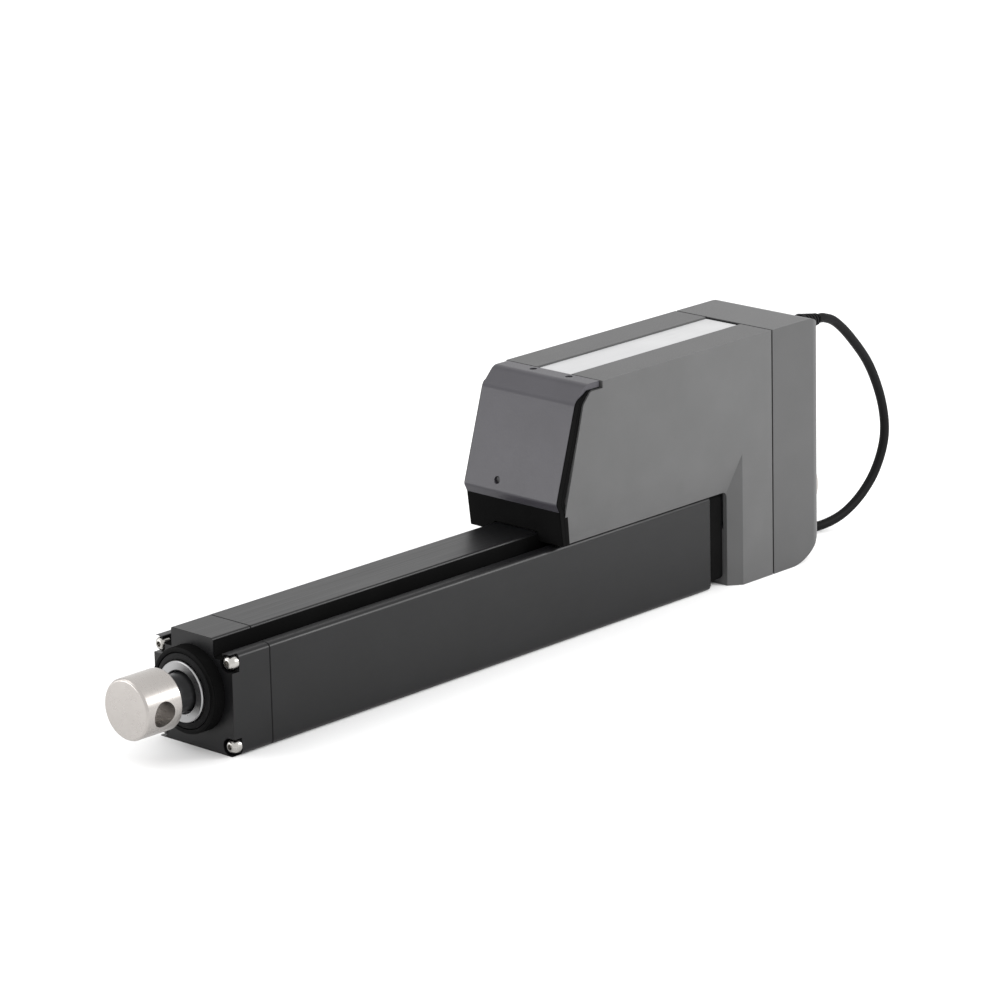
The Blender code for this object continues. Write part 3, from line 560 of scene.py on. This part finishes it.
def make_tube(finishes):
    black = finishes["black_anodised"]
    tube = solid("profile", prism(tube_outline(), "X", TUBE_REAR, FRONT - CAP_DEPTH - 0.6))
    combine(tube, prism(slide_outline(), "X", TUBE_REAR - 5, FRONT))
    dress(tube, black, "housing", ["cover_tube"], 0.25, 2, 50)
    cap = solid("end_cap", prism(tube_outline(0.05), "X", FRONT - CAP_DEPTH, FRONT))
    for y, z in screw_places():
        corners = [(y - SEAT_R, z - SEAT_R), (y + SEAT_R, z - SEAT_R), (y + SEAT_R, z + SEAT_R),
                   (y - SEAT_R, z + SEAT_R)]
        seat = rounded([(*corner, SEAT_R - 0.1) for corner in corners], 8)
        out = math.copysign(12, y)
        edge = [(y, z - SEAT_R), (y + out, z - SEAT_R), (y + out, z + SEAT_R), (y, z + SEAT_R)]
        tool = solid("tool", prism(seat, "X", FRONT - 4.7, FRONT + 2))
        combine(tool, prism(edge, "X", FRONT - 4.7, FRONT + 2), "UNION")
        combine(cap, tool)
    hollow = [(-25, 0), (-25, 18.2), (-6, 18.2), (-6, 15.8), (-3.5, 15.8), (-3.5, 18.6), (-1, 18.6),
              (-1, BOSS_R + 0.1), (9, BOSS_R + 0.1), (9, 0)]
    combine(cap, lathe([(FRONT + x, radius) for x, radius in hollow], 0, ROD_Z, 96))
    dress(cap, black, "housing", ["front_cap"], 0.55, 3, 35)
    # Painted shade: the boss's side and front lip are drawn near-black where the boss stands in shadow
    # on the cap's face.
    collar = [(-0.9, 18.6), (-0.9, BOSS_R), (6.0, BOSS_R), (6.2, BOSS_R - 0.3), (6.2, 18.6)]
    collar = lathe([(FRONT + x, radius) for x, radius in collar], 0, ROD_Z, 128)
    dress(solid("boss_side_painted_shade", collar), finishes["painted_shade_black"], "housing", ["front_cap"])
    lip = [(6.3, 18.6), (6.3, BOSS_R - 0.2), (6.7, BOSS_R - 0.25), (7.0, BOSS_R - 0.7), (7.0, 19.0),
           (6.8, 18.7)]
    lip = lathe([(FRONT + x, radius) for x, radius in lip], 0, ROD_Z, 128)
    dress(solid("boss_lip_painted_shade", lip), finishes["boss_painted_shade"], "housing", ["front_cap"])
    seal = [(-3.2, 15.1), (-3.2, SEAL_R), (6.4, SEAL_R), (6.9, 18.0), (7.5, 16.4), (7.4, 15.4),
            (6.9, 15.1)]
    seal = lathe([(FRONT + x, radius) for x, radius in seal], 0, ROD_Z, 96)
    dress(solid("wiper_lip", seal), finishes["rubber"], "housing", ["wiper_seal"])


def make_rod(finishes):
    bright = finishes["stainless_tube"]
    steel = finishes["zinc_steel"]
    wall = [(-298.6, ROD_BORE_R), (-298.6, ROD_R), (8.0, ROD_R), (8.5, 14.85), (8.8, 14.5),
            (8.8, 10.8), (8.4, 10.4), (6.2, 10.4), (6.2, ROD_BORE_R)]
    wall = lathe([(FRONT + x, radius) for x, radius in wall], 0, ROD_Z, 128)
    dress(solid("rod_tube", wall), bright, "rod", ["extension_tube"])
    head = [(43, 0), (43, 13.7), (42.75, 14.2), (42.2, 14.7), (41.6, ROD_R), (21.6, ROD_R),
            (21.0, 14.7), (20.8, 14.2), (20.8, 0)]
    head = solid("rod_eye", lathe([(FRONT + x, radius) for x, radius in head], 0, ROD_Z, 128))
    hole = prism(circle((EYE_X, 0), CROSS_HOLE_R, 64), "Y", -25, 25)
    turn = Matrix.Translation((0, 0, ROD_Z)) @ Matrix.Rotation(-CROSS_HOLE_TURN, 4, "X")
    bmesh.ops.transform(hole, matrix=turn, verts=hole.verts)
    combine(head, hole)
    dress(head, steel, "rod", ["rod_end"], 0.35, 3, 35)
    # Painted shade: the neck is drawn in dark steel for the shadow between the rod eye and the tube
    # mouth.
    neck = [(20.7, 0), (20.7, 9.9), (20.3, 9.5), (6.4, 9.5), (6.0, 9.9), (6.0, 11.9), (-15, 11.9),
            (-15, 0)]
    neck = lathe([(FRONT + x, radius) for x, radius in neck], 0, ROD_Z, 96)
    dress(solid("rod_neck_painted_shade", neck), finishes["dark_steel"], "rod", ["rod_end"])


def put(piece, matrix):
    piece.data.transform(matrix)


def make_screws(finishes):
    """Button-head screws in the corner seats, and the small cover screws."""
    head = [(-36, 0), (-36, 1.9), (-4.55, 1.9), (-4.55, 3.55), (-2.6, 3.55), (-1.5, 3.35),
            (-0.6, 2.85), (-0.05, 2.1), (0.1, 1.6), (0.1, 0)]
    for index, (y, z) in enumerate(screw_places(), start=1):
        piece = solid(f"corner_screw_{index}", lathe(head, 0, 0, 48))
        combine(piece, prism(hexagon(1.45, 0.35 * index), "X", -2.0, 2.0))
        put(piece, Matrix.Translation((FRONT * MM, y * MM, z * MM)))
        dress(piece, finishes["screw_steel"], "housing", [f"cap_screw_{index}"])
    rear = [(-382, 0), (-382, 1.9), (-418.15, 1.9), (-418.15, 3.5), (-419.3, 3.5), (-420.0, 3.2),
            (-420.6, 2.4), (-420.6, 0)]
    rear = [(FRONT + x, radius) for x, radius in rear]
    for index, (y, z) in enumerate(rear_screw_places(), start=1):
        piece = solid(f"rear_screw_{index}", lathe(rear, 0, 0, 48))
        combine(piece, prism(hexagon(1.6, 0.5 * index), "X", CAP_REAR - 4, CAP_REAR - 1.2))
        put(piece, Matrix.Translation((0, y * MM, z * MM)))
        dress(piece, finishes["dark_steel"], "housing", [f"rear_cap_screw_{index}"])


# ---------------------------------------------------------------- housing

def cover_outline():
    return rounded([
        (FRONT - 222.6, TUBE_TOP + 0.3, 0), (FRONT - 221.4, BAND_TOP, 0),
        (FRONT - 235.2, 120.5, 5), (FRONT - 240.5, 126.3, 2.5), (FRONT - 249.3, 126.3, 0),
        (FRONT - 249.3, HOUSE_TOP, 0), (SEAM + 0.2, HOUSE_TOP, 0), (SEAM + 0.2, 0, 0),
        (LEG_FRONT, 0, 0), (LEG_FRONT, TUBE_TOP + 0.3, 3),
    ], 10)


def band_tool(side, shift):
    """What lies outside the sloped band that runs along the cover's foot and leg."""
    low = BAND_HALF - shift
    face = HOUSE_HALF + 0.1 - shift
    rise = shift / 4
    foot = [(side * low, -9), (side * low, TUBE_TOP + rise), (side * face, BAND_TOP + rise),
            (side * 60, BAND_TOP + rise), (side * 60, -9)]
    tool = solid("tool", prism(foot, "X", FRONT - 420, FRONT - 190))
    edge = LEG_FRONT - shift
    leg = [(edge, side * low), (LEG_FLAT - shift, side * face), (LEG_FLAT - shift, side * 50),
           (FRONT - 180, side * 50), (FRONT - 180, side * low)]
    combine(tool, prism(leg, "Z", -20, 90), "INTERSECT")
    return tool


def make_side_cover(name, node, side, finishes):
    cover = solid(name, prism(cover_outline(), "Y", side * FLANGE_EDGE, side * HOUSE_HALF))
    combine(cover, band_tool(side, 0))
    top = HOUSE_TOP - WALL
    inner = LEG_FRONT - WALL
    view = [(FRONT - 190, 30), (FRONT - 190, top), (FRONT - 420, top), (FRONT - 420, WALL),
            (inner, WALL), (inner, 30)]
    room = solid("tool", prism(view, "Y", -side * 5, side * (HOUSE_HALF - WALL)))
    combine(room, band_tool(side, WALL))
    combine(cover, room)
    neck = [(FRONT - 360, WALL), (FRONT - 340, WALL), (FRONT - 340, 60), (FRONT - 360, 60)]
    combine(cover, prism(neck, "Y", side * 5, side * 20.5))
    dress(cover, finishes["side_cover"], "housing", [node], 0.8, 4, 30)


def nose_line(inset):
    return rounded([
        (FRONT - 219.9 - inset * 0.7, 51.5, 0), (FRONT - 217.6 - inset, 69.5, 1.5),
        (FRONT - 215.6 - inset, 73.5, 2.5), (FRONT - 230.5 - inset * 1.05, 122, 7 - inset),
        (FRONT - 238.5, HOUSE_TOP - inset, 6 - inset), (FRONT - 248.5, HOUSE_TOP - inset, 0),
        (FRONT - 248.5, 60, 0),
    ], 8)[:-1]


def make_nose(finishes):
    outline = nose_line(0) + nose_line(3.0)[::-1]
    nose = solid("nose", prism(outline, "Y", 0.4 - NOSE_HALF, NOSE_HALF - 0.4))
    rib = box(RIB_HALF + 0.5, 40, RIB_TOP + 0.5)
    combine(nose, prism(rib, "X", FRONT - 240, FRONT - 200))
    for x, y in ((FRONT - 245, -10.0), (FRONT - 245, 14.0)):
        combine(nose, prism(circle((x, y), NOSE_HOLE_R, 32), "Z", HOUSE_TOP - 6, HOUSE_TOP + 2))
    bore(nose, NOSE_HOLE_R, -10.0, 78.8, FRONT - 230, FRONT - 205)
    # Painted shade: below the crease the nose's foot is cut off and drawn near-black for the shade and
    # dark reflection under it.
    foot = solid("tool", prism([(FRONT - 260, 40), (FRONT - 200, 40), (FRONT - 200, FOOT_TOP),
                                (FRONT - 260, FOOT_TOP)], "Y", -40, 40))
    base = nose.copy()
    base.data = nose.data.copy()
    base.name = "nose_foot_painted_shade"
    bpy.context.collection.objects.link(base)
    keep = foot.copy()
    keep.data = foot.data.copy()
    bpy.context.collection.objects.link(keep)
    combine(nose, foot)
    combine(base, keep, "INTERSECT")
    dress(nose, finishes["nose"], "housing", ["nose_cover"], 0.9, 4, 50)
    dress(base, finishes["painted_shade_black"], "housing", ["nose_cover"], 0.4, 2, 50)


def make_top_plate(finishes):
    outline = [(11.4, 129.2), (11.4, 127.2), (16, 127.2), (16, 125.4), (-16, 125.4), (-16, 127.2),
               (-11.4, 127.2), (-11.4, 129.2)]
    plate = solid("light_strip", prism(outline, "X", SEAM + 0.3, FRONT - 251))
    dress(plate, finishes["top_strip"], "housing", ["top_plate"], 0.25, 2)


def make_rear_cap(finishes):
    front = SEAM - 0.8
    side = rounded([(front, 0, 0), (CAP_REAR, 0, CAP_LOW_ROUND),
                    (CAP_REAR, HOUSE_TOP, CAP_HIGH_ROUND), (front, HOUSE_TOP, 0)], 16)
    cap = solid("rear_cover", prism(side, "Y", -HOUSE_HALF, HOUSE_HALF))
    top = rounded([(front + 1, -HOUSE_HALF, 0), (CAP_REAR, -HOUSE_HALF, CAP_PLAN_ROUND),
                   (CAP_REAR, HOUSE_HALF, CAP_PLAN_ROUND), (front + 1, HOUSE_HALF, 0)], 12)
    combine(cap, prism(top, "Z", -5, HOUSE_TOP + 5), "INTERSECT")
    combine(cap, prism(box(29.0, 3.2, 126.6), "X", FRONT - 396, FRONT))
    combine(cap, prism(box(24.0, 20, 112), "X", CAP_REAR + 4, FRONT - 390))
    bore(cap, 9.3, 0, ROD_Z, CAP_REAR - 5, FRONT - 400, 64)
    bore(cap, 14.6, 0, ROD_Z, CAP_REAR + 4.1, FRONT - 390, 64)
    bore(cap, 4.3, BOOT_Y, BOOT_Z, CAP_REAR - 5, FRONT - 400)
    bore(cap, 7.2, BOOT_Y, BOOT_Z - 1, CAP_REAR + 5.5, FRONT - 390)
    for y, z in rear_screw_places():
        bore(cap, PORT_R, y, z, CAP_REAR - 5, FRONT - 400)
    dress(cap, finishes["rear_cover"], "housing", ["rear_cap"], 0.8, 4, 30)
    lug = [(-421, 0), (-421, 9), (-413.6, 9), (-413.6, 14), (-407, 14), (-407, 0)]
    lug = solid("rear_eye", lathe([(FRONT + x, radius) for x, radius in lug], 0, ROD_Z, 64))
    tongue = [(FRONT - 418.5, ROD_Z - 14), (FRONT - 418.5, ROD_Z + 14)]
    for step in range(33):
        angle = math.pi / 2 + math.pi * step / 32
        tongue.append((LUG_HOLE_X + 14 * math.cos(angle), ROD_Z + 14 * math.sin(angle)))
    combine(lug, prism(tongue, "Y", -7, 7), "UNION")
    combine(lug, prism(circle((LUG_HOLE_X, ROD_Z), CROSS_HOLE_R, 64), "Y", -10, 10))
    dress(lug, finishes["zinc_steel"], "housing", ["rear_lug"], 0.5, 3, 35)


def make_boot(finishes):
    """The strain relief: a tapered sleeve with ribs towards its thin end."""
    profile = [(-409, 0), (-409, 5.6), (-412.2, 5.6), (-412.2, 4.0), (-419.3, 4.0), (-419.3, 5.2),
               (-420.2, 5.35), (-421.4, 5.1)]
    x, radius = -421.4, 5.1
    while x > -431.5:
        profile += [(x - 0.5, radius - 0.1), (x - 0.7, radius - 0.75), (x - 1.7, radius - 0.95),
                    (x - 1.9, radius - 0.35)]
        x -= 2.4
        radius -= 0.42
    profile += [(-432.6, 3.2), (-433, 2.9), (-433, 0)]
    boot = lathe([(FRONT + x, radius) for x, radius in profile], BOOT_Y, BOOT_Z, 48)
    dress(solid("strain_relief", boot), finishes["rubber"], "housing", ["cable_boot"])


def make_seals(finishes):
    """Near-black pieces of painted shade: in the gap behind the tube, between the nose and the side
    covers, and on the rib's walls in the top grooves.
    """
    # Painted shade: a near-black block fills the slot behind the tube, where there is only shadow.
    ring = rounded([(24.4, 3.0, 3), (24.4, 49.4, 3), (-24.4, 49.4, 3), (-24.4, 3.0, 3)])
    painted_shade_black = solid("slot_painted_shade", prism(ring, "X", LEG_FRONT + 0.3, TUBE_REAR - 0.6))
    neck = rounded([(20.3, 4.7, 4), (20.3, 48.3, 4), (-20.3, 48.3, 4), (-20.3, 4.7, 4)])
    combine(painted_shade_black, prism(neck, "X", LEG_FRONT - 5, TUBE_REAR + 5))
    dress(painted_shade_black, finishes["painted_shade_black"], "housing", [], 0.4, 2)
    for name, side in (("near", 1), ("far", -1)):
        # Painted shade: near-black strips on the nose's sides stand in for the shadow gap against the
        # side covers.
        front, back = ([(x, z) for x, z in nose_line(inset) if z < 127.0] for inset in (0.25, 3.0))
        rim = prism(front + back[::-1], "Y", side * (NOSE_HALF - 0.35), side * (NOSE_HALF + 0.15))
        dress(solid(f"nose_edge_shade_{name}", rim), finishes["painted_shade_black"], "housing", [])
        front, back = nose_line(3.2)[:-1], [(x - 2.2, z) for x, z in nose_line(3.4)[:-1]]
        strip = prism(front + back[::-1], "Y", side * 27.5, side * (NOSE_HALF + 0.15))
        dress(solid(f"nose_gap_shade_{name}", strip), finishes["painted_shade_black"], "housing", [])
        # Painted shade: thin near-black walls on the rib's sides stand in for the shade in the groove.
        wall = [(RIB_HALF, GROOVE_FLOOR), (GROOVE_OUTER, GROOVE_FLOOR),
                (GROOVE_OUTER, GROOVE_FLOOR + 0.3), (RIB_HALF + 0.3, GROOVE_FLOOR + 0.3),
                (RIB_HALF + 0.3, RIB_TOP - 1.2), (RIB_HALF, RIB_TOP - 1.2)]
        wall_shade = prism([(side * y, z) for y, z in wall], "X", TUBE_REAR + 0.5, FRONT - 0.6)
        dress(solid(f"groove_wall_shade_{name}", wall_shade), finishes["painted_shade_black"], "housing", [])


def finish_inside(finishes):
    """The CAD pieces that stay as they are, most of them inside the housing."""
    kept = {
        "rubber": ["front_gasket", "rear_gasket"],
        "bronze": ["guide_bush", "drive_nut", "motor_pinion"],
        "zinc_steel": ["lead_screw", "front_bearing", "rear_bearing", "main_gear", "idler_shaft",
                       "motor_can"],
        "dark_steel": ["screw_stop", "nose_screw_1", "nose_screw_2", "nose_screw_3"],
        "nylon": ["idler_gear", "motor_end_bell"],
        "copper": ["armature"],
        "magnet": ["magnet_1", "magnet_2"],
        "cast_aluminium": ["gear_case", "bearing_plate"],
        "board": ["control_board"],
    }
    for name, nodes in kept.items():
        for node in nodes:
            on_node(node, finishes[name])


# ---------------------------------------------------------------- floor and light

FLOOR_REACH = 9.0
# Soft lights: place, aim, size in metres and power in watts
LIGHTS = [
    ("key", (0.8, -1.0, 1.5), (0.0, 0.0, 0.05), (1.2, 1.2), 7.0),
    ("side", (-0.30, 0.40, 0.26), (-0.14, 0.03, 0.10), (0.30, 0.16), 2.0),
    ("front", (0.95, -0.70, 0.22), (0.15, 0.0, 0.04), (0.7, 0.3), 4.0),
]


def make_stage():
    """A wide pale floor, an even white surround and soft lights."""
    floor = bpy.data.meshes.new("floor")
    corners = [(-FLOOR_REACH, -FLOOR_REACH, 0), (FLOOR_REACH, -FLOOR_REACH, 0),
               (FLOOR_REACH, FLOOR_REACH, 0), (-FLOOR_REACH, FLOOR_REACH, 0)]
    floor.from_pydata(corners, [], [(0, 1, 2, 3)])
    floor = bpy.data.objects.new("floor", floor)
    bpy.context.collection.objects.link(floor)
    pale = Nodes("pale_floor")
    pale.shader.inputs["Base Color"].default_value = (0.95, 0.95, 0.95, 1.0)
    pale.shader.inputs["Roughness"].default_value = 0.9
    pale.shader.inputs["Specular IOR Level"].default_value = 0.1
    floor.data.materials.append(pale.material)
    world = bpy.data.worlds.new("surround")
    world.use_nodes = True
    world.node_tree.nodes["Background"].inputs["Color"].default_value = (1, 1, 1, 1)
    world.node_tree.nodes["Background"].inputs["Strength"].default_value = 1.2
    bpy.context.scene.world = world
    bpy.context.scene.view_settings.view_transform = "Standard"
    for name, place, aim, size, power in LIGHTS:
        data = bpy.data.lights.new(name, "AREA")
        data.shape = "RECTANGLE"
        data.size, data.size_y = size
        data.energy = power
        light = bpy.data.objects.new(name, data)
        light.location = place
        light.rotation_euler = (Vector(aim) - Vector(place)).to_track_quat("-Z", "Y").to_euler()
        light.visible_camera = False
        bpy.context.collection.objects.link(light)


make_camera()
finishes = make_finishes()
line = make_cable(finishes)
make_tie(finishes)
make_wire_ends(finishes, line)
make_tube(finishes)
make_rod(finishes)
make_screws(finishes)
make_side_cover("side_cover_near", "near_cover", 1, finishes)
make_side_cover("side_cover_far", "far_cover", -1, finishes)
make_nose(finishes)
make_top_plate(finishes)
make_rear_cap(finishes)
make_boot(finishes)
make_seals(finishes)
finish_inside(finishes)
make_stage()
